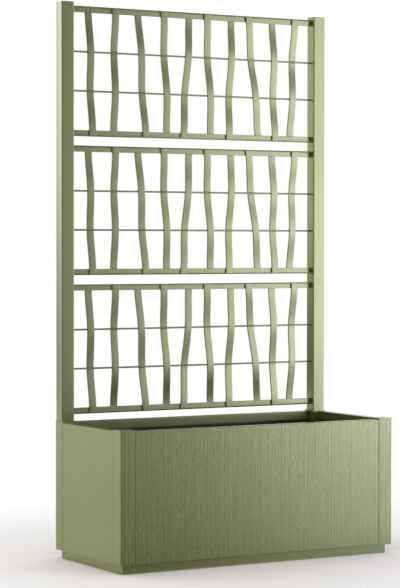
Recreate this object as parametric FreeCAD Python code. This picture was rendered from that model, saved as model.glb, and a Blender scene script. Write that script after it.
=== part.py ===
import FreeCAD, Part
import math
import os

Vec = FreeCAD.Vector

# Rectangular planter box with a woven trellis behind it
# Sizes in millimetres, X along the front, Y from front to rear, Z up from the floor

# Box and plinth sizes
overall_length = 1000.0
overall_depth = 440.0
box_height = 440.0
plinth_height = 28.5
plinth_inset = 14.0
plinth_wall = 2.0
plinth_foot_width = 20.0
plinth_corner_radius = 4.0

# Corner column sizes
column_side = 50.0
column_wall = 2.0
column_corner_radius = 3.5
column_cap_thickness = 2.5
cap_plug_depth = 15.0
cap_plug_wall = 3.0
fit_gap = 0.1
spigot_height = 80.0
spigot_wall = 3.0

# Folded wall panel sizes
sheet = 1.5
bend_radius = 0.8
panel_drop = 4.0
rim_width = 25.0
rim_lip = 28.0
bottom_flange = 25.0
end_flange = 28.0
end_flange_relief = 8.0

# Sizes of the floor plates and the tubes under them
floor_sheet = 2.0
floor_clearance = 3.0
floor_gap = 14.0
support_width = 40.0
support_wall = 2.0
support_end_clearance = 1.0
support_count = 3
support_spread_share = 0.56

# Liner sizes
liner_wall = 3.0
liner_corner_radius = 15.0
liner_drop = 4.0
liner_side_clearance = 3.0
liner_end_clearance = 10.0
liner_rim_width = 5.0
liner_rim_thickness = 4.0
liner_drain_diameter = 10.0
drain_y_shares = (-0.2, 0.2)

# Trellis post sizes
total_height = 1772.0
post_side = 42.0
post_wall = 2.0
post_corner_radius = 3.5
post_end_inset = 2.5
post_rear_inset = 4.0
post_cap_thickness = 2.5

# Trellis panel sizes
trellis_rise = 20.5
trellis_panel_gap = 30.0
trellis_top_margin = 11.0
rail_height = 19.5
rail_flange_thickness = 3.0
rail_flange_depth = 24.0
rail_web = 6.0
rail_tenon_shoulder = 2.5
rod_diameter = 6.0
bar_width = 24.0
bar_thickness = 8.0
bar_bend_radius = 60.0

# Sizes of the bolts that hold the posts
bolt_diameter = 6.0
bolt_length = 14.0
bolt_head_width = 10.0
bolt_head_height = 4.0
bolt_height_share = 0.6

# Where each bar stands, from the middle of the clear width, at its foot and at its head
bar_foot_shares = (-0.4194, -0.3293, -0.2062, -0.1137, -0.0491, 0.0685, 0.1413, 0.2698, 0.3381, 0.4099)
bar_head_shares = (-0.4307, -0.3281, -0.2320, -0.1315, -0.0223, 0.0483, 0.1553, 0.2251, 0.3313, 0.4234)
trellis_tiers = ("bottom", "middle", "top")

# Sizes that follow from the ones above
half_length = overall_length / 2
half_depth = overall_depth / 2
panel_top = box_height - panel_drop
clear_length = overall_length - 2 * column_side
clear_depth = overall_depth - 2 * column_side
column_x = half_length - column_side / 2
column_y = half_depth - column_side / 2
column_top = box_height - column_cap_thickness
floor_base = plinth_height + sheet
liner_base = floor_base + floor_sheet
liner_top = panel_top - rim_lip - liner_drop
post_x = half_length - post_end_inset - post_side / 2
post_y = half_depth - post_rear_inset - post_side / 2
post_inner_face = post_x - post_side / 2
trellis_width = 2 * post_inner_face
post_top = total_height - post_cap_thickness
trellis_base = box_height + trellis_rise
trellis_reach = total_height - trellis_top_margin - trellis_base
trellis_panel_height = (trellis_reach - 2 * trellis_panel_gap) / len(trellis_tiers)
trellis_step = trellis_panel_height + trellis_panel_gap
bay_height = (trellis_panel_height - 2 * rail_height) / 3
weave = (rail_web + bar_thickness) / 2

os.makedirs("parts", exist_ok=True)


# Outlines and simple solids

def bent_outline(corners, radii, closed):
    # Lines joined by arcs, with one radius for each corner
    edges = []
    count = len(corners)
    places = range(count) if closed else range(1, count - 1)
    ends = {}
    for i in places:
        before = (corners[i] - corners[i - 1]).normalize()
        after = (corners[(i + 1) % count] - corners[i]).normalize()
        turn = before.getAngle(after)
        inwards = (after - before).normalize()
        start = corners[i] - before * radii[i] * math.tan(turn / 2)
        finish = corners[i] + after * radii[i] * math.tan(turn / 2)
        middle = corners[i] + inwards * radii[i] * (1 / math.cos(turn / 2) - 1)
        edges.append(Part.Arc(start, middle, finish).toShape())
        ends[i] = (start, finish)
    spans = range(count) if closed else range(count - 1)
    for i in spans:
        j = (i + 1) % count
        start = ends[i][1] if i in ends else corners[i]
        finish = ends[j][0] if j in ends else corners[j]
        edges.append(Part.LineSegment(start, finish).toShape())
    return edges


def rounded_wire(corners, radius):
    return Part.Wire(Part.__sortEdges__(bent_outline(corners, [radius] * len(corners), True)))


def rectangle(length, depth, z, x_mid=0, y_mid=0):
    x = length / 2
    y = depth / 2
    signs = ((-1, -1), (1, -1), (1, 1), (-1, 1))
    return [Vec(x_mid + a * x, y_mid + b * y, z) for a, b in signs]


def notched_rectangle(x, y, notch_x, notch_y, z):
    # A rectangle of half sizes x and y whose corners step in to notch_x and notch_y
    points = []
    for a, b in ((1, 1), (-1, 1), (-1, -1), (1, -1)):
        step = [Vec(a * x, b * notch_y, z), Vec(a * notch_x, b * notch_y, z), Vec(a * notch_x, b * y, z)]
        points += step if a * b > 0 else step[::-1]
    return points


def rounded_block(length, depth, radius, z, height, x_mid=0, y_mid=0):
    wire = rounded_wire(rectangle(length, depth, z, x_mid, y_mid), radius)
    return Part.Face(wire).extrude(Vec(0, 0, height))


def block(length, depth, z, height, x_mid=0, y_mid=0):
    return Part.makeBox(length, depth, height, Vec(x_mid - length / 2, y_mid - depth / 2, z))


def square_tube(side, wall, radius, z, height, x_mid, y_mid):
    outer = rounded_block(side, side, radius, z, height, x_mid, y_mid)
    bore = side - 2 * wall
    return outer.cut(block(bore, bore, z, height, x_mid, y_mid))


def tube_plug(side, wall, z, height, x_mid, y_mid):
    # A square sleeve that fits inside a tube
    bore = side - 2 * wall
    return block(side, side, z, height, x_mid, y_mid).cut(block(bore, bore, z, height, x_mid, y_mid))


def strip_face(corners, near, far, radius, axis):
    # A bent strip's section between two lines that follow corners at the distances near and far
    # to the left of the way, seen with axis towards the eye, where radius is the bend along corners
    sides = []
    for distance in (near, far):
        first = axis.cross((corners[1] - corners[0]).normalize())
        last = axis.cross((corners[-1] - corners[-2]).normalize())
        line = [corners[0] + first * distance]
        radii = [0]
        for i in range(1, len(corners) - 1):
            before = (corners[i] - corners[i - 1]).normalize()
            after = (corners[i + 1] - corners[i]).normalize()
            across = axis.cross(before) + axis.cross(after)
            left_turn = axis.dot(before.cross(after)) > 0
            line.append(corners[i] + across * (distance / (1 + before.dot(after))))
            radii.append(radius - distance if left_turn else radius + distance)
        line.append(corners[-1] + last * distance)
        sides.append((line, radii))
    edges = []
    for line, radii in sides:
        edges += bent_outline(line, radii, False)
    for k in (0, -1):
        edges.append(Part.LineSegment(sides[0][0][k], sides[1][0][k]).toShape())
    return Part.Face(Part.Wire(Part.__sortEdges__(edges)))


def folded_face(corners, thickness, inner_radius, axis):
    # A folded sheet's section, where corners follow its outer face and every turn is to the left
    return strip_face(corners, 0, thickness, inner_radius + thickness, axis)


def save(name, shape):
    shape.exportStep("parts/" + name + ".step")


# Hexagon bolts that hold the posts to their spigots

def bolt(point, direction):
    # A bolt whose head rests at point and whose shank runs along direction
    shank = Part.makeCylinder(bolt_diameter / 2, bolt_length, point, direction)
    foot = point - direction * bolt_head_height
    turn = FreeCAD.Rotation(direction, 60)
    corners = [Vec(0, 0, bolt_head_width / math.sqrt(3))]
    while len(corners) < 6:
        corners.append(turn.multVec(corners[-1]))
    outline = Part.makePolygon([foot + corner for corner in corners + corners[:1]])
    return Part.Face(outline).extrude(direction * bolt_head_height).fuse(shank)


bolt_height = box_height + bolt_height_share * spigot_height
bolt_places = [Vec(a * post_x, post_y + post_side / 2, bolt_height) for a in (-1, 1)]


def drilled(shape):
    # The shape with a hole for every bolt that reaches it
    for point in bolt_places:
        hole = Part.makeCylinder(bolt_diameter / 2, bolt_length, point, Vec(0, -1, 0))
        if shape.BoundBox.intersect(hole.BoundBox):
            shape = shape.cut(hole)
    return shape


save("post_bolts", Part.makeCompound([bolt(point, Vec(0, -1, 0)) for point in bolt_places]))


# Plinth frame that carries the box clear of the floor

plinth_length = overall_length - 2 * plinth_inset
plinth_depth = overall_depth - 2 * plinth_inset


def plinth_ring(width, height):
    outer = rounded_block(plinth_length, plinth_depth, plinth_corner_radius, 0, height)
    inner_radius = plinth_corner_radius / 2
    inner_length = plinth_length - 2 * width
    inner_depth = plinth_depth - 2 * width
    return outer.cut(rounded_block(inner_length, inner_depth, inner_radius, 0, height))


plinth = plinth_ring(plinth_wall, plinth_height).fuse(plinth_ring(plinth_foot_width, plinth_wall))
save("plinth_frame", plinth.removeSplitter())


# Four hollow corner columns with their caps

def column_cap(x_mid, y_mid, spigot_centre):
    cap = rounded_block(column_side, column_side, column_corner_radius, column_top,
                        column_cap_thickness, x_mid, y_mid)
    plug_side = column_side - 2 * (column_wall + fit_gap)
    plug = tube_plug(plug_side, cap_plug_wall, column_top - cap_plug_depth, cap_plug_depth, x_mid, y_mid)
    cap = cap.fuse(plug)
    if spigot_centre:
        side = post_side - 2 * (post_wall + fit_gap)
        spigot = tube_plug(side, spigot_wall, box_height, spigot_height, spigot_centre[0], spigot_centre[1])
        cap = cap.fuse(spigot)
    return cap.removeSplitter()


for end, a in (("left", -1), ("right", 1)):
    for face, b in (("front", -1), ("rear", 1)):
        column = square_tube(column_side, column_wall, column_corner_radius, plinth_height,
                             column_top - plinth_height, a * column_x, b * column_y)
        save("corner_column_" + face + "_" + end, column)
        spigot_centre = (a * post_x, post_y) if face == "rear" else None
        cap = column_cap(a * column_x, b * column_y, spigot_centre)
        save("column_cap_" + face + "_" + end, drilled(cap))


# Four folded wall panels between the columns

def wall_panel(length):
    # A panel along X whose outer face is the plane where Y is zero, folded inwards on all four sides
    x_start = -length / 2 + sheet + bend_radius
    section = [Vec(x_start, rim_width, panel_top - rim_lip), Vec(x_start, rim_width, panel_top),
               Vec(x_start, 0, panel_top), Vec(x_start, 0, plinth_height),
               Vec(x_start, bottom_flange, plinth_height)]
    skin = folded_face(section, sheet, bend_radius, Vec(1, 0, 0)).extrude(Vec(-2 * x_start, 0, 0))
    foot = plinth_height + end_flange_relief
    plan = [Vec(-length / 2, end_flange, foot), Vec(-length / 2, 0, foot),
            Vec(length / 2, 0, foot), Vec(length / 2, end_flange, foot)]
    rise = panel_top - end_flange_relief - foot
    ends = folded_face(plan, sheet, bend_radius, Vec(0, 0, 1)).extrude(Vec(0, 0, rise))
    keep_clear = Part.makeBox(length, rim_width + end_flange, rim_lip,
                              Vec(-length / 2, sheet + bend_radius, panel_top - rim_lip))
    return skin.fuse(ends.cut(keep_clear)).removeSplitter()


sides = (("front", clear_length, 0, Vec(0, -half_depth, 0)), ("right", clear_depth, 90, Vec(half_length, 0, 0)),
         ("rear", clear_length, 180, Vec(0, half_depth, 0)), ("left", clear_depth, 270, Vec(-half_length, 0, 0)))
for side, length, turn, place in sides:
    panel = wall_panel(length)
    panel.rotate(Vec(0, 0, 0), Vec(0, 0, 1), turn)
    panel.translate(place)
    save("wall_panel_" + side, panel)


# Floor plates, each on its own support, with gaps between them that let water out

support_span = plinth_depth - 2 * (plinth_wall + support_end_clearance)
support_reach = min(support_span, overall_depth - 2 * bottom_flange)
support_height = floor_base - plinth_wall
support_places = []
for i in range(support_count):
    share = i / (support_count - 1) - 0.5
    support_places.append(share * support_spread_share * overall_length)
gap_places = [(left + right) / 2 for left, right in zip(support_places, support_places[1:])]

supports = []
for x in support_places:
    outer = block(support_width, support_reach, plinth_wall, support_height, x)
    bore = block(support_width - 2 * support_wall, support_reach, plinth_wall + support_wall,
                 support_height - 2 * support_wall, x)
    supports.append(outer.cut(bore))
save("floor_supports", Part.makeCompound(supports))

floor_x = half_length - sheet - floor_clearance
floor_y = half_depth - sheet - floor_clearance
floor_notch_x = clear_length / 2 - sheet - floor_clearance
floor_notch_y = clear_depth / 2 - sheet - floor_clearance
floor_corners = notched_rectangle(floor_x, floor_y, floor_notch_x, floor_notch_y, floor_base)
floor = Part.Face(Part.makePolygon(floor_corners + floor_corners[:1])).extrude(Vec(0, 0, floor_sheet))
gaps = [block(floor_gap, 2 * floor_y, floor_base, floor_sheet, x) for x in gap_places]
save("floor_plates", floor.cut(Part.makeCompound(gaps)))


# Liner that holds the soil, between the columns and under the rim
# Its drain holes lie over the gaps between the floor plates

liner_length = clear_length - 2 * liner_end_clearance
liner_depth = overall_depth - 2 * (rim_width + liner_side_clearance)


def liner_block(inset, z, top):
    length = liner_length - 2 * inset
    depth = liner_depth - 2 * inset
    return rounded_block(length, depth, liner_corner_radius - inset, z, top - z)


liner = liner_block(liner_rim_width, liner_base, liner_top)
liner = liner.fuse(liner_block(0, liner_top - liner_rim_thickness, liner_top))
liner = liner.cut(liner_block(liner_rim_width + liner_wall, liner_base + liner_wall, liner_top))
for x in gap_places:
    for share in drain_y_shares:
        middle = Vec(x, share * overall_depth, liner_base)
        liner = liner.cut(Part.makeCylinder(liner_drain_diameter / 2, liner_wall, middle))
save("liner", liner.removeSplitter())


# Trellis rails, one T section for the foot of a panel and the same turned over for its head

def trellis_rail():
    x = post_inner_face
    flange = Part.makeBox(2 * x, rail_flange_depth, rail_flange_thickness, Vec(-x, -rail_flange_depth / 2, 0))
    web = Part.makeBox(2 * x, rail_web, rail_height - rail_flange_thickness,
                       Vec(-x, -rail_web / 2, rail_flange_thickness))
    reach = x + post_wall
    tenon_height = rail_height - rail_flange_thickness - 2 * rail_tenon_shoulder
    tenon = Part.makeBox(2 * reach, rail_web, tenon_height,
                         Vec(-reach, -rail_web / 2, rail_flange_thickness + rail_tenon_shoulder))
    return flange.fuse(web).fuse(tenon).removeSplitter()


def rail_places():
    # Height, upper or lower, and tier of every rail
    places = []
    for i, tier in enumerate(trellis_tiers):
        z = trellis_base + i * trellis_step
        places.append((z, "lower", tier))
        places.append((z + trellis_panel_height, "upper", tier))
    return places


def rod_levels(tier_index):
    z = trellis_base + tier_index * trellis_step + rail_height
    return [z + bay_height, z + 2 * bay_height]


for z, end, tier in rail_places():
    rail = trellis_rail()
    if end == "upper":
        rail.rotate(Vec(0, 0, 0), Vec(1, 0, 0), 180)
    rail.translate(Vec(0, post_y, z))
    save("trellis_rail_" + tier + "_" + end, rail)

for i, tier in enumerate(trellis_tiers):
    foot = Vec(-post_inner_face, post_y, 0)
    rods = [Part.makeCylinder(rod_diameter / 2, trellis_width, foot + Vec(0, 0, z), Vec(1, 0, 0))
            for z in rod_levels(i)]
    save("trellis_rods_" + tier, Part.makeCompound(rods))


# Trellis posts with a slot for each rail, their feet over the spigots

def post_cuts(a):
    wall_start = post_inner_face if a > 0 else -post_inner_face - post_wall
    slot_foot = rail_flange_thickness + rail_tenon_shoulder
    slot_height = rail_height - rail_tenon_shoulder - slot_foot
    cuts = []
    for z, end, tier in rail_places():
        foot = z + slot_foot if end == "lower" else z - slot_foot - slot_height
        cuts.append(Part.makeBox(post_wall, rail_web, slot_height, Vec(wall_start, post_y - rail_web / 2, foot)))
    return Part.makeCompound(cuts)


for end, a in (("left", -1), ("right", 1)):
    post = square_tube(post_side, post_wall, post_corner_radius, box_height, post_top - box_height,
                       a * post_x, post_y)
    save("trellis_post_" + end, drilled(post.cut(post_cuts(a))))
    cap = rounded_block(post_side, post_side, post_corner_radius, post_top, post_cap_thickness, a * post_x, post_y)
    plug_side = post_side - 2 * (post_wall + fit_gap)
    plug = tube_plug(plug_side, cap_plug_wall, post_top - cap_plug_depth, cap_plug_depth, a * post_x, post_y)
    save("post_cap_" + end, cap.fuse(plug).removeSplitter())


# Woven trellis bars, each bent to pass before and behind the rods in turn

def bend_peak(bay):
    # How far out a bend's corner lies for the rounded bend itself to rest against a rod
    peak = weave
    for step in range(5):
        slope = math.atan2(2 * peak, bay)
        peak = weave + bar_bend_radius * (1 / math.cos(slope) - 1)
    return peak


def trellis_bar(foot_x, head_x, first_side):
    # A bar between two rails in a panel whose foot is at zero, first_side being -1 for the front
    rise = trellis_panel_height - 2 * rail_height
    lean = math.atan2(head_x - foot_x, rise)
    bay = bay_height / math.cos(lean)
    peak = bend_peak(bay)
    landing = bay * (peak - weave) / (2 * peak)
    spare = rail_height + bar_width
    y = first_side * weave
    path = [Vec(0, y, -spare), Vec(0, y, landing), Vec(0, -first_side * peak, bay),
            Vec(0, first_side * peak, 2 * bay), Vec(0, -y, 3 * bay - landing), Vec(0, -y, 3 * bay + spare)]
    face = strip_face(path, -bar_thickness / 2, bar_thickness / 2, bar_bend_radius, Vec(1, 0, 0))
    bar = face.extrude(Vec(bar_width, 0, 0))
    bar.translate(Vec(-bar_width / 2, 0, 0))
    bar.rotate(Vec(0, 0, 0), Vec(0, 1, 0), math.degrees(lean))
    bar.translate(Vec(foot_x, 0, rail_height))
    between = trellis_panel_height - 2 * rail_flange_thickness
    room = Part.makeBox(trellis_width, rail_flange_depth, between,
                        Vec(-trellis_width / 2, -rail_flange_depth / 2, rail_flange_thickness))
    return bar.common(room)


for i, (foot_share, head_share) in enumerate(zip(bar_foot_shares, bar_head_shares)):
    first_side = -1 if i % 2 == 0 else 1
    bar = trellis_bar(foot_share * trellis_width, head_share * trellis_width, first_side)
    for k, tier in enumerate(trellis_tiers):
        placed = bar.copy()
        placed.translate(Vec(0, post_y, trellis_base + k * trellis_step))
        save("trellis_bar_" + tier + "_%02d" % (i + 1), placed)
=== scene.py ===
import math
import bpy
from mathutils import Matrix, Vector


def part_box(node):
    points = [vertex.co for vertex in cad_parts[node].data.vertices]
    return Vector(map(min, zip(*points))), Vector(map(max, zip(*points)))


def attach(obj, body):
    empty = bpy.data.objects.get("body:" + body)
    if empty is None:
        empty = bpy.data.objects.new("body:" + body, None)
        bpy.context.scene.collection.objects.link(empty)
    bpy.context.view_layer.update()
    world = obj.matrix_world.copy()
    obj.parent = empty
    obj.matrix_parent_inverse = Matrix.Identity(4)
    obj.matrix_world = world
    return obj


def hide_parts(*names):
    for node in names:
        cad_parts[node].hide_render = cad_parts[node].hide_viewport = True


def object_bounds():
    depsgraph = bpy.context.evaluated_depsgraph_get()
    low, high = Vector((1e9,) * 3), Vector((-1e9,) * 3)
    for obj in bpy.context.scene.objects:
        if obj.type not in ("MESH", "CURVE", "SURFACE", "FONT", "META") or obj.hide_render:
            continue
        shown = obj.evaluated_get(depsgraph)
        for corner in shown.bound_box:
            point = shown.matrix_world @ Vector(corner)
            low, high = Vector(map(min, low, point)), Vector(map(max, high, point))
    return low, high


bl_info = {
    "name": "Trellis planter",
    "version": (1, 0, 0),
    "blender": (4, 5, 0),
    "location": "3D View > Sidebar > Planter",
    "description": "Models and finishes a sheet metal planter box with a woven trellis",
    "category": "Object",
}

import bpy
from mathutils import Quaternion, Vector

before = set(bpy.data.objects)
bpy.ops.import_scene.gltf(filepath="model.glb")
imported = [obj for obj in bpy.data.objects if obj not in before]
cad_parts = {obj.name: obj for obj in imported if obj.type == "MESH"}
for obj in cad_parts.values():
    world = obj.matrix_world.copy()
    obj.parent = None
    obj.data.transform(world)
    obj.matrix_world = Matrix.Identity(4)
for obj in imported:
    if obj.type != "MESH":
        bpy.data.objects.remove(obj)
cad_low, cad_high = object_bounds()
bpy.ops.object.select_all(action="DESELECT")

# Pieces of the trellis
TIERS = ("bottom", "middle", "top")
BAR_COUNT = 10
BAYS = 3

# How many faces the round and bent stretches have
ROD_SIDES = 20
BOLT_SIDES = 6
WEAVE_STEPS_PER_BAY = 12
CORNER_SEGMENTS = 5
SEAM_SEGMENTS = 2
EDGE_SEGMENTS = 3
FLANGE_SEGMENTS = 4

# How full the rounding is, where 0.5 is a quarter circle
ROUND_PROFILE = 0.5
FLANGE_PROFILE = 0.36

# Angles up to which neighbouring faces shade as one, in degrees
SMOOTH_ANGLE = 40
BAR_SMOOTH_ANGLE = 50
BOLT_SMOOTH_ANGLE = 30

# A face looks along an axis when its normal has at least this share of it
FACING = 0.5
# How much of a tube's height is hollow
HOLLOW_SHARE = 0.9
# Coordinates are the same within the first reach, and on the frame's solids within the second
SAME = 1e-5
SAME_ON_SOLID = 1e-4

# The photograph's frame and the camera that took it, in pixels, radians and metres, with its
# sensor in millimetres
PHOTO_WIDTH = 400
PHOTO_HEIGHT = 588
PHOTO_FOCAL = 2165.44
SENSOR_WIDTH = 36.0
CAMERA_YAW = 0.5300
CAMERA_PITCH = 0.0238
CAMERA_ROLL = -0.0010
CAMERA_PLACE = (-3.5917, -5.9689, 1.0087)

# The range of a noise that holds most of its values, and the range that it is spread over
NOISE_RANGE = (0.3, 0.7)
SPREAD = (0.0, 1.0)
WHITE = (1.0, 1.0, 1.0)

# Noises, each with its scale along X, Y and Z, its detail and its roughness. The patches are
# where the two sets of long grain lines take turns, and a peel is a fine orange peel
PAINT_CLOUDS = ((5.0, 5.0, 3.2), 3.0, 0.5)
PAINT_PEEL = ((700.0, 700.0, 700.0), 1.0, 0.5)
GRAIN_PATCHES = ((40.0, 0.0, 7.0), 1.0, 0.5)
SHORT_GRAIN = ((165.0, 0.0, 66.0), 0.6, 0.5)
LINER_CLOUDS = ((14.0, 14.0, 9.0), 4.0, 0.55)
LINER_PEEL = ((700.0, 700.0, 700.0), 2.0, 0.5)

# Bumps, each with its strength and its height in metres
PAINT_PEEL_BUMP = (0.1, 0.00002)
LINER_PEEL_BUMP = (0.5, 0.0002)
GRAIN_BUMP = (0.6, 0.00006)

# The darkest and the palest tone of the paint's clouds, and how far they change its roughness
PAINT_CLOUD_TONES = (0.97, 1.03)
PAINT_CLOUD_ROUGHNESS = 0.01

# The scale and the start of the two sets of long grain lines, and the short lines' share
LONG_GRAINS = ((165.0, 0.0), (214.0, 17.4))
LONG_GRAIN_DETAIL = 0.7
PATCH_RANGE = (0.42, 0.58)
SHORT_GRAIN_SHARE = 0.4
# The grain shows on the outer faces at the front and rear, and is fainter towards the right,
# where the paint shines most. Elsewhere it is even at its middle
GRAIN_FACING = (0.1, 0.18, 0.0, 1.0)
GRAIN_ACROSS = (-0.15, 0.45, 1.0, 0.5)
NO_GRAIN = 0.5
# The range of the grain that its tones are spread over, and how far it changes the roughness
GRAIN_TONE_RANGE = (0.36, 0.64)
GRAIN_ROUGHNESS = 0.04

# The tones and the roughness of the liner where its clouds are dark and where they are pale
LINER_TONES = (0.8, 1.35)
LINER_ROUGHNESS = (0.5, 0.66)

# The zinc's flakes per metre, and its tones and roughness on dark and pale flakes
FLAKE_SCALE = 140.0
FLAKE_RANGE = (0.2, 0.8)
FLAKE_TONES = (0.82, 1.12)
ZINC_METALLIC = 0.9
ZINC_ROUGHNESS = (0.38, 0.52)

# The ramps below have four numbers: where they start and end, and the tones at both places.
# The floor's run with the distance from the planter, stretched to the oval of its shadow
FLOOR_ROUGHNESS = 0.9
FLOOR_OVAL = (0.87, 1.1, 0.0)
# The run from the painted contact shade close to the planter to the floor's own colour
FLOOR_CONTACT_SHADE = (0.4, 0.75, 0.0, 1.0)
FLOOR_WHITE = (0.75, 1.9, 0.0, 1.0)

# The screen in front, a glowing sheet that only reflections see and so paints reflections: the
# middle, width and height of its wall, and the length of the part that runs on over the floor
FRONT_MIDDLE = (-1.0, -5.5, 4.502)
FRONT_SIZE = (20.0, 9.0)
FRONT_GROUND_LENGTH = 5.285
# Its ramps across, which run at a slant to the right and the rear. The tones of the wall's
# are the stage's glows
FRONT_SLANT = (1.0, 0.6, 0.0)
FRONT_PALE = (-0.55, 0.45, 0.0, 1.0)
FRONT_WALL = (-0.38, 0.62)
FRONT_GROUND = (0.0, 1.0, 0.22, 0.85)
FRONT_GROUND_RIGHT = (0.15, 0.8, 1.0, 1.6)
# Its ramps along Y over the floor and up the wall, and its colours at the dark and pale side
FRONT_GROUND_NEAR = (-0.7, -0.25, 1.0, 0.5)
FRONT_RISE = (0.003, 0.1, 0.0, 1.0)
FRONT_UPPER = (0.1, 0.9, 1.0, 0.7)
FRONT_TOP = (2.4, 3.4, 1.0, 0.2)
FRONT_COLOURS = ((1.0, 1.0, 0.9), (1.02, 1.0, 1.6))

# The screen behind, a glowing sheet that paints reflections in the same way: its middle, width and
# height
BEHIND_MIDDLE = (-0.525, 0.7, 1.076)
BEHIND_SIZE = (2.05, 2.148)
# Its ramps up the dark, grey and pale parts and the foot, the one up from the foot to them, the
# ones across from part to part, and its colours at the other parts and the pale one
BEHIND_DARK = (0.4, 1.8, 0.0, 0.65)
BEHIND_GREY = (0.5, 1.2, 0.35, 1.4)
BEHIND_PALE = (0.5, 1.7, 1.35, 3.3)
BEHIND_FOOT = (0.0, 0.35, 0.80, 0.93)
BEHIND_RISE = (0.4, 0.5, 0.0, 1.0)
BEHIND_TO_GREY = (0.02, 0.14, 0.0, 1.0)
BEHIND_FROM_PALE = (-0.80, -0.68, 1.0, 0.0)
BEHIND_COLOURS = (WHITE, (1.03, 1.0, 1.35))

# The flag above, a dark glowing sheet that paints dark reflections: its side, height over the
# floor and glow
ABOVE_SIZE = 7
ABOVE_HEIGHT = 4.2
ABOVE_GLOW = 0.25

# The lamps: the place, the point that they face, and the width and height
KEY_LAMP = ((-3.3, 4.4, 2.7), (0, 0, 1.0), 3.0, 2.4)
SIDE_LAMP = ((3.6, -4.4, 1.4), (0, 0, 0.8), 1.8, 1.8)
LAMP_COLOUR = (1.0, 1.0, 0.985)


# Sizes and colours that a user would change

class PlanterFinish(bpy.types.PropertyGroup):
    metal_colour: bpy.props.FloatVectorProperty(
        name="Metal colour", description="Olive green of the satin metal paint",
        default=(0.25, 0.283, 0.10), size=3, subtype="COLOR", min=0.0, max=1.0)
    grain_depth: bpy.props.FloatProperty(
        name="Grain depth", description="How much darker and paler the lines of the grain are",
        default=0.28, min=0.0, max=1.0, subtype="FACTOR")
    metallic: bpy.props.FloatProperty(
        name="Metallic", description="Share of the paint that shines like metal",
        default=0.75, min=0.0, max=1.0, subtype="FACTOR")
    metal_roughness: bpy.props.FloatProperty(
        name="Metal roughness", description="Roughness of the satin paint",
        default=0.29, min=0.0, max=1.0, subtype="FACTOR")
    coat: bpy.props.FloatProperty(
        name="Coat", description="Weight of the clear coat over the paint",
        default=0.35, min=0.0, max=1.0, subtype="FACTOR")
    # Painted shade in part: the liner's near-black stands in for the deep shade inside the box as
    # well as the plastic's own black
    liner_and_shade_colour: bpy.props.FloatVectorProperty(
        name="Liner colour", description="Black of the moulded liner",
        default=(0.012, 0.012, 0.011), size=3, subtype="COLOR", min=0.0, max=1.0)
    steel_colour: bpy.props.FloatVectorProperty(
        name="Steel colour", description="Grey of the unpainted supports under the floor",
        default=(0.42, 0.43, 0.42), size=3, subtype="COLOR", min=0.0, max=1.0)


class PlanterShape(bpy.types.PropertyGroup):
    sheet: bpy.props.FloatProperty(
        name="Sheet", description="Thickness of the folded panels",
        default=0.0015, min=0.0005, max=0.004, unit="LENGTH")
    fold_radius: bpy.props.FloatProperty(
        name="Fold radius", description="Outer radius of the panels' folds",
        default=0.0022, min=0.0005, max=0.006, unit="LENGTH")
    rim_width: bpy.props.FloatProperty(
        name="Rim width", description="Width of the rim round the top of the box",
        default=0.025, min=0.01, max=0.06, unit="LENGTH")
    rim_lip: bpy.props.FloatProperty(
        name="Rim lip", description="Height of the lip that hangs from the rim",
        default=0.028, min=0.005, max=0.06, unit="LENGTH")
    tube_radius: bpy.props.FloatProperty(
        name="Tube corner radius", description="Outer corner radius of columns and posts",
        default=0.0035, min=0.001, max=0.008, unit="LENGTH")
    seam_radius: bpy.props.FloatProperty(
        name="Seam radius", description="Radius of the columns' edges that lie against a panel",
        default=0.0008, min=0.0002, max=0.003, unit="LENGTH")
    tube_wall: bpy.props.FloatProperty(
        name="Tube wall", description="Wall of columns and posts",
        default=0.002, min=0.001, max=0.005, unit="LENGTH")
    post_extra: bpy.props.FloatProperty(
        name="Post extra", description="How far the posts reach to the left of their solids",
        default=0.0025, min=0.0, max=0.0025, unit="LENGTH")
    cap_edge: bpy.props.FloatProperty(
        name="Cap edge", description="Softened edge of the caps",
        default=0.0008, min=0.0002, max=0.002, unit="LENGTH")
    bar_edge: bpy.props.FloatProperty(
        name="Bar edge", description="Rounded edge of the flat bars",
        default=0.0018, min=0.0002, max=0.003, unit="LENGTH")
    rail_edge: bpy.props.FloatProperty(
        name="Rail edge", description="Softened edge of the rails",
        default=0.0013, min=0.0001, max=0.0015, unit="LENGTH")
    flange_edge: bpy.props.FloatProperty(
        name="Flange edge", description="Width of the rounding on the rails' flange",
        default=0.0026, min=0.0001, max=0.0028, unit="LENGTH")
    rail_flange: bpy.props.FloatProperty(
        name="Rail flange", description="Thickness of the rails' flange",
        default=0.003, min=0.001, max=0.006, unit="LENGTH")
    rail_web: bpy.props.FloatProperty(
        name="Rail web", description="Thickness of the rails' web",
        default=0.006, min=0.002, max=0.012, unit="LENGTH")
    bar_width: bpy.props.FloatProperty(
        name="Bar width", description="Width of the flat bars",
        default=0.0255, min=0.01, max=0.04, unit="LENGTH")
    bar_thickness: bpy.props.FloatProperty(
        name="Bar thickness", description="Thickness of the flat bars",
        default=0.005, min=0.003, max=0.012, unit="LENGTH")
    bolt_head: bpy.props.FloatProperty(
        name="Bolt head", description="Height of the bolt heads",
        default=0.004, min=0.002, max=0.008, unit="LENGTH")


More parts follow.
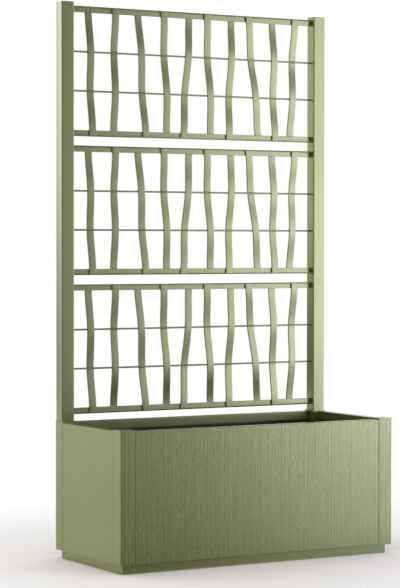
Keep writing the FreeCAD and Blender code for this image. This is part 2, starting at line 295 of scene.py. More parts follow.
class PlanterStage(bpy.types.PropertyGroup):
    floor_size: bpy.props.FloatProperty(
        name="Floor size", description="Side of the pale floor",
        default=80.0, min=5.0, max=200.0, unit="LENGTH")
    floor_colour: bpy.props.FloatVectorProperty(
        name="Floor colour", description="Pale floor round the planter",
        default=(0.985, 0.963, 0.955), size=3, subtype="COLOR", min=0.0, max=1.0)
    # Painted shade: a warm, darker floor colour close to the planter that stands in for its
    # contact shadow
    painted_contact_shade: bpy.props.FloatVectorProperty(
        name="Contact colour", description="Warmer tone of the floor close to the planter",
        default=(1.0, 0.925, 0.92), size=3, subtype="COLOR", min=0.0, max=1.0)
    room_light: bpy.props.FloatProperty(
        name="Room light", description="Strength of the soft light from all round",
        default=0.9, min=0.0, max=3.0)
    key_power: bpy.props.FloatProperty(
        name="Key power", description="Power of the large lamp behind at the left",
        default=25.0, min=0.0, max=1000.0, unit="POWER")
    side_power: bpy.props.FloatProperty(
        name="Side power", description="Power of the large lamp at the front right",
        default=54.0, min=0.0, max=1000.0, unit="POWER")
    # The glows of the screen in front are painted reflections, which only reflections see
    painted_reflection_glow: bpy.props.FloatProperty(
        name="Softbox glow", description="Glow of the pale half of the screen in front",
        default=5.0, min=0.0, max=10.0)
    painted_dark_reflection_glow: bpy.props.FloatProperty(
        name="Flag glow", description="Glow of the dark half of the screen in front",
        default=0.12, min=0.0, max=2.0)


# Selecting and shaping pieces

def only(piece):
    # Selects one piece and makes it the active one
    bpy.ops.object.select_all(action="DESELECT")
    piece.select_set(True)
    bpy.context.view_layer.objects.active = piece


def settle(piece):
    # The place, turn and scale go into the mesh
    only(piece)
    bpy.ops.object.transform_apply(location=True, rotation=True, scale=True)
    return piece


def named(name):
    # Gives the newest piece its name
    piece = bpy.context.active_object
    piece.name = name
    piece.data.name = name
    return piece


def add_block(name, low, high):
    bpy.ops.mesh.primitive_cube_add(size=1, location=(low + high) / 2, scale=high - low)
    return settle(named(name))


def unselect(mesh):
    for items in (mesh.vertices, mesh.edges, mesh.polygons):
        for item in items:
            item.select = False


def enter_edit(kind):
    bpy.ops.object.mode_set(mode="EDIT")
    bpy.ops.mesh.select_mode(type=kind)


def edit_edges(piece, chosen):
    # Enters edit mode with the edges selected whose two end points pass the test
    only(piece)
    mesh = piece.data
    unselect(mesh)
    for edge in mesh.edges:
        first, second = (mesh.vertices[i].co for i in edge.vertices)
        edge.select = chosen(first, second)
    enter_edit("EDGE")


def edit_faces(piece, chosen):
    # Enters edit mode with the faces selected whose middle and normal pass the test
    only(piece)
    unselect(piece.data)
    for face in piece.data.polygons:
        face.select = chosen(face.center, face.normal)
    enter_edit("FACE")


def leave_edit():
    bpy.ops.object.mode_set(mode="OBJECT")


def near(first, second, reach=SAME):
    return abs(first - second) < reach


def runs_along(first, second, axis):
    step = second - first
    return all(near(step[i], 0) for i in range(3) if i != axis)


def is_upright(first, second):
    return runs_along(first, second, 2)


def both_at(height, first, second):
    return near(first.z, height) and near(second.z, height)


def is_corner(point, low, high):
    at_x = near(point.x, low.x) or near(point.x, high.x)
    at_y = near(point.y, low.y) or near(point.y, high.y)
    return at_x and at_y


def bevel_edges(piece, chosen, width, segments, profile=ROUND_PROFILE):
    edit_edges(piece, chosen)
    bpy.ops.mesh.bevel(offset=width, offset_type="OFFSET", segments=segments, profile=profile,
                       affect="EDGES")
    leave_edit()


def push(step):
    # Draws what is selected out by a step
    bpy.ops.mesh.extrude_region_move(TRANSFORM_OT_translate={"value": step})


def smooth(piece, degrees=SMOOTH_ANGLE):
    # Round edges shade smoothly and the flats beside them stay flat
    only(piece)
    bpy.ops.object.shade_smooth_by_angle(angle=math.radians(degrees))
    flats = piece.modifiers.new("flats", "WEIGHTED_NORMAL")
    flats.keep_sharp = True
    bpy.ops.object.modifier_apply(modifier=flats.name)


def paint(piece, material):
    piece.data.materials.clear()
    piece.data.materials.append(material)


def fit(piece, material, node):
    paint(piece, material)
    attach(piece, "root")
    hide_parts(node)


def copied(piece, name, place, turn=(0, 0, 0)):
    only(piece)
    bpy.ops.object.duplicate(linked=False)
    twin = named(name)
    twin.location = place
    twin.rotation_euler = turn
    return settle(twin)


# Finishes, all on Object coordinates

def add_node(tree, kind, **values):
    node = tree.nodes.new(kind)
    for key, value in values.items():
        setattr(node, key, value)
    return node


def feed(tree, socket, value):
    # A value that is itself a socket is linked, and any other is set
    if isinstance(value, bpy.types.NodeSocket):
        tree.links.new(value, socket)
    else:
        socket.default_value = value


def to_surface(tree, socket, output="ShaderNodeOutputMaterial"):
    tree.links.new(socket, add_node(tree, output).inputs["Surface"])


def built_once(name):
    # The function below it lays out a tree, and its calls give the material of that name,
    # which the first of them builds
    def wrapped(lay_out):
        def give():
            material = bpy.data.materials.get(name)
            if material is None:
                material = bpy.data.materials.new(name)
                material.use_nodes = True
                material.node_tree.nodes.clear()
                lay_out(material.node_tree)
            return material
        return give
    return wrapped


def coordinate(tree, kind="Object"):
    return add_node(tree, "ShaderNodeTexCoord").outputs[kind]


def axes(tree, vector):
    # The X, Y and Z of a vector
    node = add_node(tree, "ShaderNodeSeparateXYZ")
    tree.links.new(vector, node.inputs["Vector"])
    return node.outputs["X"], node.outputs["Y"], node.outputs["Z"]


def scaled_place(tree, scale):
    mapping = add_node(tree, "ShaderNodeMapping")
    mapping.inputs["Scale"].default_value = scale
    tree.links.new(coordinate(tree), mapping.inputs["Vector"])
    return mapping.outputs["Vector"]


def stretched_noise(tree, scale, detail, roughness):
    noise = add_node(tree, "ShaderNodeTexNoise")
    noise.inputs["Scale"].default_value = 1.0
    noise.inputs["Detail"].default_value = detail
    noise.inputs["Roughness"].default_value = roughness
    tree.links.new(scaled_place(tree, scale), noise.inputs["Vector"])
    return noise.outputs["Fac"]


def grain_lines(tree, place, scale, start):
    # Lines that follow one another along the axis of the place
    noise = add_node(tree, "ShaderNodeTexNoise", noise_dimensions="1D")
    noise.inputs["Scale"].default_value = 1.0
    noise.inputs["Detail"].default_value = LONG_GRAIN_DETAIL
    tree.links.new(maths(tree, "MULTIPLY_ADD", place, scale, start), noise.inputs["W"])
    return noise.outputs["Fac"]


def ranged(tree, value, from_low, from_high, to_low, to_high):
    node = add_node(tree, "ShaderNodeMapRange")
    node.inputs["From Min"].default_value = from_low
    node.inputs["From Max"].default_value = from_high
    node.inputs["To Min"].default_value = to_low
    node.inputs["To Max"].default_value = to_high
    tree.links.new(value, node.inputs["Value"])
    return node.outputs["Result"]


def eased(tree, value, *ends):
    # A range that starts and ends softly
    tone = ranged(tree, value, *ends)
    tone.node.interpolation_type = "SMOOTHSTEP"
    return tone


def maths(tree, operation, *values):
    node = add_node(tree, "ShaderNodeMath", operation=operation)
    for socket, value in zip(node.inputs, values):
        feed(tree, socket, value)
    return node.outputs[0]


def product(tree, first, *others):
    for other in others:
        first = maths(tree, "MULTIPLY", first, other)
    return first


def vector_maths(tree, operation, output, *values):
    node = add_node(tree, "ShaderNodeVectorMath", operation=operation)
    for socket, value in zip(node.inputs, values):
        feed(tree, socket, value)
    return node.outputs[output]


def mixed(tree, factor, first, second, blend_type="MIX"):
    # Two colours, mixed by a factor
    node = add_node(tree, "ShaderNodeMix", data_type="RGBA", blend_type=blend_type)
    for i, value in ((0, factor), (6, first), (7, second)):
        feed(tree, node.inputs[i], value)
    return node.outputs[2]


def blended(tree, factor, first, second):
    # Two numbers, mixed by a factor
    node = add_node(tree, "ShaderNodeMix", data_type="FLOAT")
    for i, value in ((0, factor), (2, first), (3, second)):
        feed(tree, node.inputs[i], value)
    return node.outputs[0]


def toned(tree, factor, colour, dark, pale):
    # A colour that goes from its dark to its pale share with the factor
    shades = ((*(part * share for part in colour), 1.0) for share in (dark, pale))
    return mixed(tree, factor, *shades)


def raised(tree, height, strength, distance):
    node = add_node(tree, "ShaderNodeBump")
    node.inputs["Strength"].default_value = strength
    node.inputs["Distance"].default_value = distance
    tree.links.new(height, node.inputs["Height"])
    return node


def principled(tree):
    shader = add_node(tree, "ShaderNodeBsdfPrincipled")
    to_surface(tree, shader.outputs["BSDF"])
    return shader


def satin_paint(tree):
    # What both metals share: the shader, the colour and its clouds, and a fine orange peel
    finish = bpy.context.scene.planter_finish
    shader = principled(tree)
    shader.inputs["Metallic"].default_value = finish.metallic
    shader.inputs["Coat Weight"].default_value = finish.coat
    shader.inputs["Coat Roughness"].default_value = finish.metal_roughness
    cloud = ranged(tree, stretched_noise(tree, *PAINT_CLOUDS), *NOISE_RANGE, *SPREAD)
    colour = toned(tree, cloud, finish.metal_colour, *PAINT_CLOUD_TONES)
    peel = raised(tree, stretched_noise(tree, *PAINT_PEEL), *PAINT_PEEL_BUMP)
    return shader, colour, cloud, peel


def roughened(tree, shader, value, low, high, change):
    # The paint is rougher by the change where the value is low, and smoother where it is high
    middle = bpy.context.scene.planter_finish.metal_roughness
    rough = ranged(tree, value, low, high, middle + change, middle - change)
    tree.links.new(rough, shader.inputs["Roughness"])


@built_once("olive_smooth_metal")
def smooth_metal(tree):
    # Olive satin metal paint of the tubes, bars, rails and rods
    shader, colour, cloud, peel = satin_paint(tree)
    roughened(tree, shader, cloud, *SPREAD, PAINT_CLOUD_ROUGHNESS)
    tree.links.new(colour, shader.inputs["Base Color"])
    tree.links.new(peel.outputs["Normal"], shader.inputs["Normal"])


@built_once("olive_grained_metal")
def grained_metal(tree):
    # The same paint with a fine upright grain on the outer faces at the front and rear
    shader, colour, cloud, peel = satin_paint(tree)
    across, _, _ = axes(tree, coordinate(tree))
    first, second = (grain_lines(tree, across, *lines) for lines in LONG_GRAINS)
    patch = ranged(tree, stretched_noise(tree, *GRAIN_PATCHES), *PATCH_RANGE, *SPREAD)
    long_grain = blended(tree, patch, first, second)
    lines = blended(tree, SHORT_GRAIN_SHARE, long_grain, stretched_noise(tree, *SHORT_GRAIN))
    normal = coordinate(tree, "Normal")
    outwards = vector_maths(tree, "MULTIPLY", "Vector", normal, coordinate(tree))
    facing = ranged(tree, axes(tree, outwards)[1], *GRAIN_FACING)
    shown = product(tree, facing, ranged(tree, across, *GRAIN_ACROSS))
    grain = blended(tree, shown, NO_GRAIN, lines)
    depth = bpy.context.scene.planter_finish.grain_depth
    tone_share = ranged(tree, grain, *GRAIN_TONE_RANGE, *SPREAD)
    tone = toned(tree, tone_share, WHITE, 1.0 - depth, 1.0 + depth)
    tree.links.new(mixed(tree, 1.0, colour, tone, "MULTIPLY"), shader.inputs["Base Color"])
    roughened(tree, shader, grain, *NOISE_RANGE, GRAIN_ROUGHNESS)
    relief = raised(tree, grain, *GRAIN_BUMP)
    tree.links.new(peel.outputs["Normal"], relief.inputs["Normal"])
    tree.links.new(relief.outputs["Normal"], shader.inputs["Normal"])


@built_once("black_liner_plastic")
def liner_plastic_and_shade(tree):
    # Black moulded plastic with a fine orange peel. Its near-black is partly painted shade,
    # standing in for the deep shade inside the box as well as the plastic's own black
    shader = principled(tree)
    cloud = stretched_noise(tree, *LINER_CLOUDS)
    colour = toned(tree, ranged(tree, cloud, *NOISE_RANGE, *SPREAD),
                   bpy.context.scene.planter_finish.liner_and_shade_colour, *LINER_TONES)
    tree.links.new(colour, shader.inputs["Base Color"])
    rough = ranged(tree, cloud, *NOISE_RANGE, *LINER_ROUGHNESS)
    tree.links.new(rough, shader.inputs["Roughness"])
    peel = raised(tree, stretched_noise(tree, *LINER_PEEL), *LINER_PEEL_BUMP)
    tree.links.new(peel.outputs["Normal"], shader.inputs["Normal"])


@built_once("zinc_steel")
def zinc_steel(tree):
    # Zinc-coated steel of the pieces under the floor, with pale and dark flakes
    shader = principled(tree)
    flakes = add_node(tree, "ShaderNodeTexVoronoi", feature="F1")
    flakes.inputs["Scale"].default_value = FLAKE_SCALE
    tree.links.new(coordinate(tree), flakes.inputs["Vector"])
    grey = add_node(tree, "ShaderNodeRGBToBW")
    tree.links.new(flakes.outputs["Color"], grey.inputs["Color"])
    colour = toned(tree, ranged(tree, grey.outputs["Val"], *FLAKE_RANGE, *SPREAD),
                   bpy.context.scene.planter_finish.steel_colour, *FLAKE_TONES)
    tree.links.new(colour, shader.inputs["Base Color"])
    shader.inputs["Metallic"].default_value = ZINC_METALLIC
    rough = ranged(tree, grey.outputs["Val"], *FLAKE_RANGE, *ZINC_ROUGHNESS)
    tree.links.new(rough, shader.inputs["Roughness"])


# Pieces of the box

class PLANTER_OT_plinth(bpy.types.Operator):
    """Finishes the plinth frame"""
    bl_idname = "planter.plinth"
    bl_label = "Plinth"

    def execute(self, context):
        paint(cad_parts["plinth_frame"], smooth_metal())
        return {"FINISHED"}


def corner_block(name, low, high, outer):
    # A block whose upright edges that pass the test outer have the tubes' radius, and whose
    # other upright edges are seams
    shape = bpy.context.scene.planter_shape
    block = add_block(name, low, high)

    def rounded(a, b):
        return is_upright(a, b) and outer(a)

    def seams(a, b):
        return is_upright(a, b) and is_corner(a, low, high)

    bevel_edges(block, rounded, shape.tube_radius, CORNER_SEGMENTS)
    bevel_edges(block, seams, shape.seam_radius, SEAM_SEGMENTS)
    return block


def tube_body(name, low, high, outer):
    # A square tube, closed at the top by its cap and open at its foot
    body = corner_block(name, low, high, outer)
    edit_faces(body, lambda middle, normal: normal.z < -FACING)
    bpy.ops.mesh.inset(thickness=bpy.context.scene.planter_shape.tube_wall)
    push((0, 0, (high.z - low.z) * HOLLOW_SHARE))
    leave_edit()
    smooth(body)
    return body


def cap_plate(name, low, high, outer):
    # The plate of a cap, as thick as what stands out above its tube
    plate = corner_block(name, low, high, outer)
    bevel_edges(plate, lambda a, b: both_at(high.z, a, b),
                bpy.context.scene.planter_shape.cap_edge, EDGE_SEGMENTS)
    smooth(plate)
    return plate


def capped_tube(node, cap, low, high, top, outer, metal):
    body = tube_body(node + "_tube", low, high, outer)
    fit(body, metal, node)
    plate_low = Vector((low.x, low.y, high.z))
    plate = cap_plate(cap + "_plate", plate_low, Vector((high.x, high.y, top)), outer)
    fit(plate, smooth_metal(), cap)


class PLANTER_OT_columns(bpy.types.Operator):
    """Models the four corner columns and their caps"""
    bl_idname = "planter.columns"
    bl_label = "Corner columns"

    def execute(self, context):
        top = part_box("column_cap_front_left")[1].z
        for face in ("front", "rear"):
            for end in ("left", "right"):
                place = "%s_%s" % (face, end)
                node = "corner_column_" + place
                low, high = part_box(node)
                capped_tube(node, "column_cap_" + place, low, high, top,
                            lambda point: is_corner(point, cad_low, cad_high), grained_metal())
        return {"FINISHED"}


def folded_panel(name, length, height, foot):
    # A panel along X whose outer face is the plane where Y is zero, open at its back
    shape = bpy.context.scene.planter_shape
    rim = shape.rim_width
    top = foot + height
    lip_end = length / 2 - 2 * shape.sheet
    panel = add_block(name, Vector((-length / 2, 0, foot)), Vector((length / 2, rim, top)))
    only(panel)
    bpy.ops.object.mode_set(mode="EDIT")
    for x in (-lip_end, lip_end):
        bpy.ops.mesh.select_all(action="SELECT")
        bpy.ops.mesh.bisect(plane_co=(x, 0, 0), plane_no=(1, 0, 0))
    leave_edit()
    edit_faces(panel, lambda middle, normal: normal.y > FACING)
    bpy.ops.mesh.delete(type="FACE")
    leave_edit()

    def rim_back(a, b):
        # The middle one of the three stretches at the back of the rim
        at_back = both_at(top, a, b) and near(a.y, rim) and near(b.y, rim)
        return at_back and abs(a.x + b.x) < length / 2

    edit_edges(panel, rim_back)
    push((0, 0, -shape.rim_lip))
    leave_edit()

    def folds(a, b):
        # The lip's fold, and the border of the outer face
        at_border = near(a.z, b.z) or near(abs(a.x), length / 2)
        return rim_back(a, b) or (near(a.y, 0) and near(b.y, 0) and at_border)

    bevel_edges(panel, folds, shape.fold_radius, EDGE_SEGMENTS)
    wall = panel.modifiers.new("wall", "SOLIDIFY")
    wall.thickness = shape.sheet
    wall.offset = -1.0
    wall.use_even_offset = True
    bpy.ops.object.modifier_apply(modifier=wall.name)
    smooth(panel)
    return panel


class PLANTER_OT_panels(bpy.types.Operator):
    """Models the four folded wall panels"""
    bl_idname = "planter.panels"
    bl_label = "Wall panels"

    def execute(self, context):
        long_low, long_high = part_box("wall_panel_front")
        short_low, short_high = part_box("wall_panel_left")
        length = long_high.x - long_low.x
        depth = short_high.y - short_low.y
        sides = (
            ("front", length, 0, (0, cad_low.y, 0)),
            ("right", depth, 90, (cad_high.x, 0, 0)),
            ("rear", length, 180, (0, cad_high.y, 0)),
            ("left", depth, 270, (cad_low.x, 0, 0)),
        )
        for side, width, degrees, place in sides:
            panel = folded_panel("wall_" + side, width, long_high.z - long_low.z, long_low.z)
            panel.rotation_euler = (0, 0, math.radians(degrees))
            panel.location = place
            settle(panel)
            fit(panel, grained_metal(), "wall_panel_" + side)
        return {"FINISHED"}


class PLANTER_OT_liner(bpy.types.Operator):
    """Finishes the liner that holds the soil, whose near-black is partly painted shade"""
    bl_idname = "planter.liner"
    bl_label = "Liner"

    def execute(self, context):
        paint(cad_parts["liner"], liner_plastic_and_shade())
        return {"FINISHED"}


class PLANTER_OT_floor(bpy.types.Operator):
    """Finishes the floor plates and their supports"""
    bl_idname = "planter.floor"
    bl_label = "Floor"

    def execute(self, context):
        for node in ("floor_plates", "floor_supports"):
            paint(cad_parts[node], zinc_steel())
        return {"FINISHED"}


# Pieces of the trellis

class PLANTER_OT_posts(bpy.types.Operator):
    """Models the two trellis posts and their caps"""
    bl_idname = "planter.posts"
    bl_label = "Trellis posts"

    def execute(self, context):
        extra = Vector((context.scene.planter_shape.post_extra, 0, 0))
        for end in ("left", "right"):
            node = "trellis_post_" + end
            cap = "post_cap_" + end
            low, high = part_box(node)
            capped_tube(node, cap, low - extra, high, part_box(cap)[1].z, lambda point: True,
                        smooth_metal())
        return {"FINISHED"}


def lower_rail(name):
    # A T section with its flange at the foot, made at the place of the lowest rail
    shape = bpy.context.scene.planter_shape
    low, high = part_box("trellis_rail_bottom_lower")
    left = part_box("trellis_post_left")[1].x
    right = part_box("trellis_post_right")[0].x
    middle = (low.y + high.y) / 2
    half_web = shape.rail_web / 2
    flange_top = low.z + shape.rail_flange
    rail = add_block(name, Vector((left, middle - half_web, low.z)),
                     Vector((right, middle + half_web, high.z)))
    only(rail)
    bpy.ops.object.mode_set(mode="EDIT")
    bpy.ops.mesh.select_all(action="SELECT")
    bpy.ops.mesh.bisect(plane_co=(0, 0, flange_top), plane_no=(0, 0, 1))
    leave_edit()
    for side in (-1, 1):
        edit_faces(rail, lambda centre, normal: normal.y * side > FACING and centre.z < flange_top)
        push((0, side * ((high.y - low.y) / 2 - half_web), 0))
        leave_edit()

    def on_web(point):
        return near(abs(point.y - middle), half_web)

    def web_edges(a, b):
        return runs_along(a, b, 0) and on_web(a) and not near(a.z, low.z)

    def flange_edges(a, b):
        return runs_along(a, b, 0) and not on_web(a) and near(a.z, low.z)

    bevel_edges(rail, web_edges, shape.rail_edge, EDGE_SEGMENTS)
    bevel_edges(rail, flange_edges, shape.flange_edge, FLANGE_SEGMENTS, FLANGE_PROFILE)
    smooth(rail)
    return rail


class PLANTER_OT_rails(bpy.types.Operator):
    """Models the six rails of the trellis"""
    bl_idname = "planter.rails"
    bl_label = "Trellis rails"

    def execute(self, context):
        first_low, first_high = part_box("trellis_rail_bottom_lower")
        middle = (first_low.y + first_high.y) / 2
        pattern = lower_rail("rail_pattern")
        for tier in TIERS:
            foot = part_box("trellis_rail_%s_lower" % tier)[0].z
            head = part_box("trellis_rail_%s_upper" % tier)[1].z
            places = (
                ("lower", (0, 0, foot - first_low.z), (0, 0, 0)),
                ("upper", (0, 2 * middle, head + first_low.z), (math.pi, 0, 0)),
            )
            for level, place, turn in places:
                name = "rail_%s_%s" % (tier, level)
                rail = copied(pattern, name, place, turn)
                fit(rail, smooth_metal(), "trellis_" + name)
        bpy.data.objects.remove(pattern)
        return {"FINISHED"}


class PLANTER_OT_rods(bpy.types.Operator):
    """Models the six round rods of the trellis"""
    bl_idname = "planter.rods"
    bl_label = "Trellis rods"

    def execute(self, context):
        for tier in TIERS:
            node = "trellis_rods_" + tier
            low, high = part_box(node)
            radius = (high.y - low.y) / 2
            middle = (low + high) / 2
            for level, z in (("lower", low.z + radius), ("upper", high.z - radius)):
                bpy.ops.mesh.primitive_cylinder_add(
                    vertices=ROD_SIDES, radius=radius, depth=high.x - low.x,
                    location=(middle.x, middle.y, z), rotation=(0, math.pi / 2, 0))
                rod = settle(named("rod_%s_%s" % (tier, level)))
                smooth(rod)
                fit(rod, smooth_metal(), node)
        return {"FINISHED"}


def bar_line(node):
    # Where a bar stands at its foot and head, read from its solid's ends
    corners = [vertex.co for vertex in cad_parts[node].data.vertices]
    low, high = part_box(node)
    foot = [co.x for co in corners if near(co.z, low.z, SAME_ON_SOLID)]
    head = [co.x for co in corners if near(co.z, high.z, SAME_ON_SOLID)]
    return (min(foot) + max(foot)) / 2, (min(head) + max(head)) / 2


def woven_bar(name, node, first_side):
    # A flat bar drawn up from its foot, before and behind the rods in turn
    shape = bpy.context.scene.planter_shape
    low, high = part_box(node)
    foot_x, head_x = bar_line(node)
    rods_low, rods_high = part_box("trellis_rods_bottom")
    rod_radius = (rods_high.y - rods_low.y) / 2
    bay = rods_high.z - rods_low.z - 2 * rod_radius
    centre_y = (rods_low.y + rods_high.y) / 2
    first_level = rods_low.z + rod_radius - bay
    weave = (shape.rail_web + shape.bar_thickness) / 2

    def centre(z):
        share = (z - low.z) / (high.z - low.z)
        bays = min(max((z - first_level) / bay, 0), BAYS)
        return Vector((foot_x + (head_x - foot_x) * share,
                       centre_y + first_side * weave * math.cos(math.pi * bays), z))

    steps = range(BAYS * WEAVE_STEPS_PER_BAY + 1)
    levels = [low.z, *(first_level + i * bay / WEAVE_STEPS_PER_BAY for i in steps), high.z]
    bpy.ops.mesh.primitive_plane_add(size=1, location=centre(low.z))
    bar = named(name)
    bar.scale = (shape.bar_width, shape.bar_thickness, 1)
    settle(bar)
    enter_edit("FACE")
    bpy.ops.mesh.select_all(action="SELECT")
    for before, after in zip(levels, levels[1:]):
        push(centre(after) - centre(before))
    bpy.ops.mesh.select_all(action="SELECT")
    bpy.ops.mesh.normals_make_consistent(inside=False)
    leave_edit()
    bevel_edges(bar, lambda a, b: not near(a.z, b.z), shape.bar_edge, EDGE_SEGMENTS)
    smooth(bar, BAR_SMOOTH_ANGLE)
    return bar


class PLANTER_OT_bars(bpy.types.Operator):
    """Models the thirty woven bars of the trellis"""
    bl_idname = "planter.bars"
    bl_label = "Trellis bars"

    def execute(self, context):
        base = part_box("trellis_rail_bottom_lower")[0].z
        for number in range(1, BAR_COUNT + 1):
            first_side = -1 if number % 2 else 1
            pattern = woven_bar("bar_pattern", "trellis_bar_bottom_%02d" % number, first_side)
            for tier in TIERS:
                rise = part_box("trellis_rail_%s_lower" % tier)[0].z - base
                bar = copied(pattern, "bar_%s_%02d" % (tier, number), (0, 0, rise))
                fit(bar, smooth_metal(), "trellis_bar_%s_%02d" % (tier, number))
            bpy.data.objects.remove(pattern)
        return {"FINISHED"}


class PLANTER_OT_bolts(bpy.types.Operator):
    """Models the two bolts behind the posts"""
    bl_idname = "planter.bolts"
    bl_label = "Post bolts"

    def execute(self, context):
        shape = context.scene.planter_shape
        low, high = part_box("post_bolts")
        height = (low.z + high.z) / 2
        radius = (high.z - low.z) / 2

        def outer_edges(a, b):
            return near(a.y, high.y, SAME_ON_SOLID) and near(b.y, high.y, SAME_ON_SOLID)

        for end in ("left", "right"):
            post_low, post_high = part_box("trellis_post_" + end)
            x = (post_low.x + post_high.x) / 2
            bpy.ops.mesh.primitive_cylinder_add(
                vertices=BOLT_SIDES, radius=radius, depth=shape.bolt_head,
                location=(x, post_high.y + shape.bolt_head / 2, height),
                rotation=(math.pi / 2, 0, 0))
            bolt = settle(named("bolt_" + end))
            bevel_edges(bolt, outer_edges, shape.cap_edge, EDGE_SEGMENTS)
            smooth(bolt, BOLT_SMOOTH_ANGLE)
            fit(bolt, smooth_metal(), "post_bolts")
        return {"FINISHED"}


# Floor, lamps and camera

def ray_switch(tree):
    # 1 for rays from the camera, mirror rays and rays through glass, and 0 for the rest
    path = add_node(tree, "ShaderNodeLightPath")
    seen = maths(tree, "MAXIMUM", path.outputs["Is Camera Ray"], path.outputs["Is Glossy Ray"])
    return maths(tree, "MAXIMUM", seen, path.outputs["Is Transmission Ray"])


def light_world():
    stage = bpy.context.scene.planter_stage
    world = bpy.data.worlds.new("pale_room")
    bpy.context.scene.world = world
    world.use_nodes = True
    tree = world.node_tree
    tree.nodes.clear()
    room = add_node(tree, "ShaderNodeBackground")
    room.inputs["Color"].default_value = (*WHITE, 1.0)
    strength = ranged(tree, ray_switch(tree), *SPREAD, stage.room_light, 1.0)
    tree.links.new(strength, room.inputs["Strength"])
    to_surface(tree, room.outputs["Background"], "ShaderNodeOutputWorld")


@built_once("pale_floor")
def pale_floor(tree):
    # Keeps the lit shadow near the planter, paints a warm, darker contact shade on the floor close
    # to it, and turns to plain white further out
    stage = bpy.context.scene.planter_stage
    shader = add_node(tree, "ShaderNodeBsdfPrincipled")
    shader.inputs["Roughness"].default_value = FLOOR_ROUGHNESS
    reach = vector_maths(tree, "LENGTH", "Value", scaled_place(tree, FLOOR_OVAL))
    # Painted shade: the floor close to the planter takes the warmer, darker contact tone
    tone = mixed(tree, eased(tree, reach, *FLOOR_CONTACT_SHADE),
                 (*stage.painted_contact_shade, 1.0), (*stage.floor_colour, 1.0))
    tree.links.new(tone, shader.inputs["Base Color"])
    share = product(tree, eased(tree, reach, *FLOOR_WHITE), ray_switch(tree))
    white = add_node(tree, "ShaderNodeEmission")
    blend = add_node(tree, "ShaderNodeMixShader")
    tree.links.new(share, blend.inputs[0])
    tree.links.new(shader.outputs["BSDF"], blend.inputs[1])
    tree.links.new(white.outputs["Emission"], blend.inputs[2])
    to_surface(tree, blend.outputs["Shader"])


def add_floor():
    bpy.ops.mesh.primitive_plane_add(size=bpy.context.scene.planter_stage.floor_size,
                                     location=(0, 0, cad_low.z))
    floor = settle(named("floor"))
    floor.data.materials.append(pale_floor())


def area_lamp(name, power, place, target, width, height):
    bpy.ops.object.light_add(type="AREA", location=place)
    lamp = named(name)
    lamp.data.shape = "RECTANGLE"
    lamp.data.size = width
    lamp.data.size_y = height
    lamp.data.energy = power
    lamp.data.color = LAMP_COLOUR
    aim = Vector(target) - Vector(place)
    lamp.rotation_euler = aim.to_track_quat("-Z", "Y").to_euler()
    lamp.visible_glossy = False


def upright_screen(name, middle, size):
    bpy.ops.mesh.primitive_plane_add(size=1, location=middle, rotation=(math.pi / 2, 0, 0))
    screen = named(name)
    screen.scale = (*size, 1.0)
    return settle(screen)


def reflection_only(screen, material):
    # A studio screen that reflections see and nothing else does, so its glow is a painted
    # reflection
    screen.data.materials.append(material)
    screen.visible_camera = False
    screen.visible_diffuse = False
    screen.visible_shadow = False
    screen.visible_transmission = False


def glowing(tree):
    glow = add_node(tree, "ShaderNodeEmission")
    to_surface(tree, glow.outputs["Emission"])
    return glow


def tint(tree, glow, share, colours, strength):
    # The glow goes from the first to the second of the colours with the share
    first, second = colours
    colour = mixed(tree, share, (*first, 1.0), (*second, 1.0))
    tree.links.new(colour, glow.inputs["Color"])
    tree.links.new(strength, glow.inputs["Strength"])


@built_once("painted_reflection_front")
def front_glow(tree):
    # Painted reflections: dark at the left and pale at the right, both on the wall and on the part
    # over the floor
    stage = bpy.context.scene.planter_stage
    place = coordinate(tree)
    slant = vector_maths(tree, "DOT_PRODUCT", "Value", place, FRONT_SLANT)
    _, along, height = axes(tree, place)
    share = eased(tree, slant, *FRONT_PALE)
    wall = eased(tree, slant, *FRONT_WALL, stage.painted_dark_reflection_glow, stage.painted_reflection_glow)
    ground = product(tree, ranged(tree, share, *FRONT_GROUND),
                     eased(tree, slant, *FRONT_GROUND_RIGHT),
                     eased(tree, along, *FRONT_GROUND_NEAR))
    tone = blended(tree, eased(tree, height, *FRONT_RISE), ground, wall)
    strength = product(tree, tone, eased(tree, height, *FRONT_UPPER),
                       eased(tree, height, *FRONT_TOP))
    tint(tree, glowing(tree), share, FRONT_COLOURS, strength)


def painted_reflection_front():
    screen = upright_screen("painted_reflection_front", FRONT_MIDDLE, FRONT_SIZE)
    foot = FRONT_MIDDLE[2] - FRONT_SIZE[1] / 2
    edit_edges(screen, lambda a, b: both_at(foot, a, b))
    push((0, FRONT_GROUND_LENGTH, 0))
    leave_edit()
    reflection_only(screen, front_glow())


@built_once("painted_reflection_behind")
def behind_glow(tree):
    # Painted reflections: dark behind the trellis, pale at the far left and grey elsewhere
    across, _, height = axes(tree, coordinate(tree))
    dark = eased(tree, height, *BEHIND_DARK)
    grey = eased(tree, height, *BEHIND_GREY)
    pale = eased(tree, height, *BEHIND_PALE)
    share = eased(tree, across, *BEHIND_FROM_PALE)
    risen = eased(tree, height, *BEHIND_RISE)
    upper = blended(tree, eased(tree, across, *BEHIND_TO_GREY), dark, grey)
    upper = blended(tree, share, upper, pale)
    tone = blended(tree, risen, eased(tree, height, *BEHIND_FOOT), upper)
    tint(tree, glowing(tree), product(tree, share, risen), BEHIND_COLOURS, tone)


def painted_reflection_behind():
    screen = upright_screen("painted_reflection_behind", BEHIND_MIDDLE, BEHIND_SIZE)
    reflection_only(screen, behind_glow())


@built_once("painted_reflection_above")
def above_glow(tree):
    # A dark, even painted reflection for the upward faces and the rods
    glowing(tree).inputs["Strength"].default_value = ABOVE_GLOW


def painted_reflection_above():
    bpy.ops.mesh.primitive_plane_add(size=ABOVE_SIZE, location=(0, 0, ABOVE_HEIGHT))
    reflection_only(settle(named("painted_reflection_above")), above_glow())


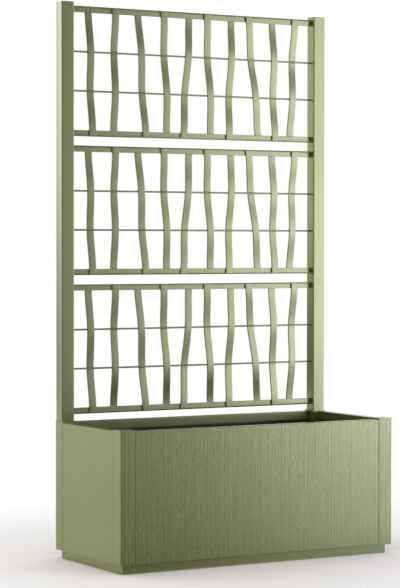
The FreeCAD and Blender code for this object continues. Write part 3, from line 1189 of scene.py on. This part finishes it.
def photo_camera():
    data = bpy.data.cameras.new("photo_camera")
    data.sensor_width = SENSOR_WIDTH
    data.lens = PHOTO_FOCAL * data.sensor_width / max(PHOTO_WIDTH, PHOTO_HEIGHT)
    camera = bpy.data.objects.new("photo_camera", data)
    bpy.context.scene.collection.objects.link(camera)
    ahead = Vector((math.sin(CAMERA_YAW) * math.cos(CAMERA_PITCH),
                    math.cos(CAMERA_YAW) * math.cos(CAMERA_PITCH), -math.sin(CAMERA_PITCH)))
    camera.location = CAMERA_PLACE
    camera.rotation_mode = "QUATERNION"
    camera.rotation_quaternion = Quaternion(ahead, CAMERA_ROLL) @ ahead.to_track_quat("-Z", "Y")
    bpy.context.scene.camera = camera


class PLANTER_OT_stage(bpy.types.Operator):
    """Makes the floor, the lamps, the camera and the screens that paint reflections"""
    bl_idname = "planter.stage"
    bl_label = "Stage"

    def execute(self, context):
        stage = context.scene.planter_stage
        light_world()
        add_floor()
        painted_reflection_front()
        painted_reflection_behind()
        painted_reflection_above()
        area_lamp("key_lamp", stage.key_power, *KEY_LAMP)
        area_lamp("side_lamp", stage.side_power, *SIDE_LAMP)
        photo_camera()
        context.scene.view_settings.view_transform = "Standard"
        return {"FINISHED"}


class PLANTER_PT_panel(bpy.types.Panel):
    """Lists the steps that build the planter"""
    bl_idname = "PLANTER_PT_panel"
    bl_label = "Trellis planter"
    bl_space_type = "VIEW_3D"
    bl_region_type = "UI"
    bl_category = "Planter"

    def draw(self, context):
        scene = context.scene
        for group in (scene.planter_finish, scene.planter_shape, scene.planter_stage):
            box = self.layout.box()
            for key in group.bl_rna.properties.keys():
                if key not in ("rna_type", "name"):
                    box.prop(group, key)
        for operator in OPERATORS:
            self.layout.operator(operator.bl_idname)


OPERATORS = (
    PLANTER_OT_plinth,
    PLANTER_OT_columns,
    PLANTER_OT_panels,
    PLANTER_OT_liner,
    PLANTER_OT_floor,
    PLANTER_OT_posts,
    PLANTER_OT_rails,
    PLANTER_OT_rods,
    PLANTER_OT_bars,
    PLANTER_OT_bolts,
    PLANTER_OT_stage,
)
CLASSES = (PlanterFinish, PlanterShape, PlanterStage, *OPERATORS, PLANTER_PT_panel)


def register():
    for item in CLASSES:
        bpy.utils.register_class(item)
    bpy.types.Scene.planter_finish = bpy.props.PointerProperty(type=PlanterFinish)
    bpy.types.Scene.planter_shape = bpy.props.PointerProperty(type=PlanterShape)
    bpy.types.Scene.planter_stage = bpy.props.PointerProperty(type=PlanterStage)


def unregister():
    del bpy.types.Scene.planter_stage
    del bpy.types.Scene.planter_shape
    del bpy.types.Scene.planter_finish
    for item in reversed(CLASSES):
        bpy.utils.unregister_class(item)


def main():
    register()
    bpy.ops.planter.plinth()
    bpy.ops.planter.columns()
    bpy.ops.planter.panels()
    bpy.ops.planter.liner()
    bpy.ops.planter.floor()
    bpy.ops.planter.posts()
    bpy.ops.planter.rails()
    bpy.ops.planter.rods()
    bpy.ops.planter.bars()
    bpy.ops.planter.bolts()
    bpy.ops.planter.stage()


if __name__ == "__main__":
    main()
